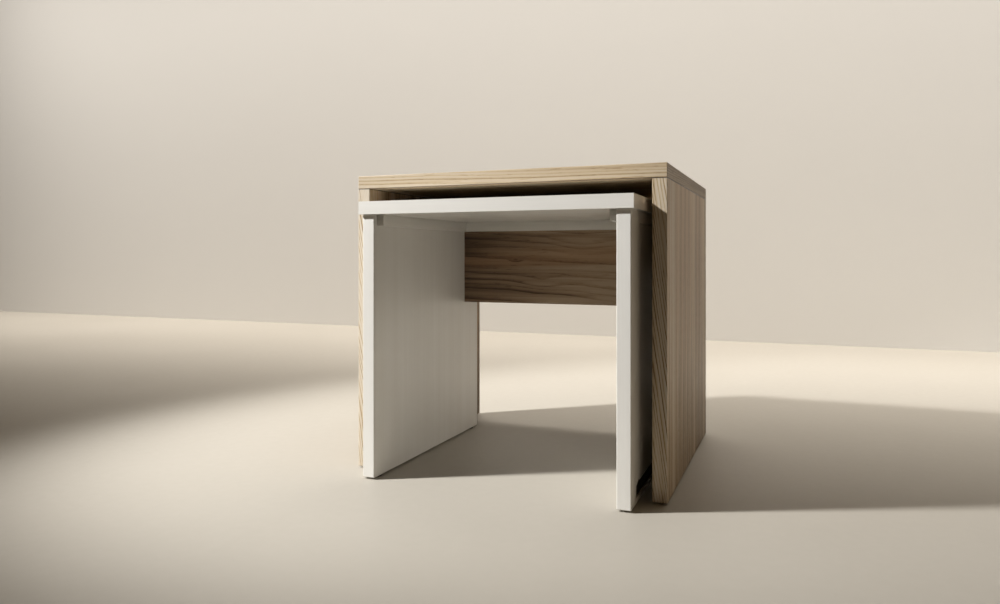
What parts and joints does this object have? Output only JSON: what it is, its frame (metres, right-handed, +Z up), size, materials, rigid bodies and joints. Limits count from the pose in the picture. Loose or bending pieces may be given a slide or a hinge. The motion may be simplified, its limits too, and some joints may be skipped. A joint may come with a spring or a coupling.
{
  "type": "nesting tables",
  "caption": "Nesting side tables with panel legs: an oak outer table, and a white lacquered inner table with an oak apron that slides out from beneath it.",
  "frame": {"origin": "on the floor, at the middle of the whole pair's footprint with the inner table drawn out 57 mm as stored", "axes": "+Z up, -Y the front that the inner table slides out of, +X to the right seen from the front"},
  "size_m": [0.525, 0.527, 0.5],
  "materials": {
    "oak": "oak veneer on board, matt oil finish, open straight grain",
    "oak_edge": "oak edge lipping, matt, grain along the edge",
    "dark_oak": "brown-stained oak veneer, matt, horizontal grain",
    "dark_oak_edge": "brown-stained oak edge lipping, matt",
    "white_lacquer": "warm white satin lacquer on fibreboard",
    "beech": "plain turned beech",
    "steel": "bright zinc-plated steel",
    "zinc": "die-cast zinc, dull",
    "oak_cap": "oak-coloured moulded cap",
    "dark_cap": "brown moulded cap",
    "black_plastic": "black low-friction plastic"
  },
  "bodies": {
    "outer_table": {"outer_top": "oak", "outer_top_front_lipping": "oak_edge", "outer_top_rear_lipping": "oak_edge", "outer_top_left_lipping": "oak_edge", "outer_top_right_lipping": "oak_edge", "outer_left_side": "oak", "outer_right_side": "oak", "outer_left_front_lipping": "oak_edge", "outer_right_front_lipping": "oak_edge", "outer_left_rear_lipping": "oak_edge", "outer_right_rear_lipping": "oak_edge", "outer_rear_rail": "oak", "outer_rail_lipping": "oak_edge", "outer_dowels": "beech", "outer_cam_bolts": "steel", "outer_cam_discs": "zinc", "outer_cam_caps": "oak_cap", "outer_glides": "black_plastic"},
    "inner_table": {"inner_top": "white_lacquer", "inner_left_side": "white_lacquer", "inner_right_side": "white_lacquer", "inner_left_front_edge": "white_lacquer", "inner_right_front_edge": "white_lacquer", "inner_left_rear_edge": "white_lacquer", "inner_right_rear_edge": "white_lacquer", "inner_left_stile": "white_lacquer", "inner_right_stile": "white_lacquer", "inner_left_facing": "white_lacquer", "inner_right_facing": "white_lacquer", "inner_left_top_strip": "white_lacquer", "inner_right_top_strip": "white_lacquer", "inner_left_bottom_strip": "white_lacquer", "inner_right_bottom_strip": "white_lacquer", "inner_left_groove_strip": "black_plastic", "inner_right_groove_strip": "black_plastic", "inner_groove_strip_screws": "black_plastic", "inner_left_cleat": "white_lacquer", "inner_right_cleat": "white_lacquer", "inner_cross_cleat": "white_lacquer", "inner_top_screws": "steel", "inner_cleat_screws": "steel", "inner_apron": "dark_oak", "inner_apron_lipping": "dark_oak_edge", "inner_dowels": "beech", "inner_cam_bolts": "steel", "inner_cam_discs": "zinc", "inner_cam_caps": "dark_cap", "inner_glides": "black_plastic"}
  },
  "joints": [
    {"name": "inner_table_slide", "type": "slide", "parent": "outer_table", "child": "inner_table", "axis": [0, -1, 0], "range_m": [-0.057, 0.43]}
  ]
}
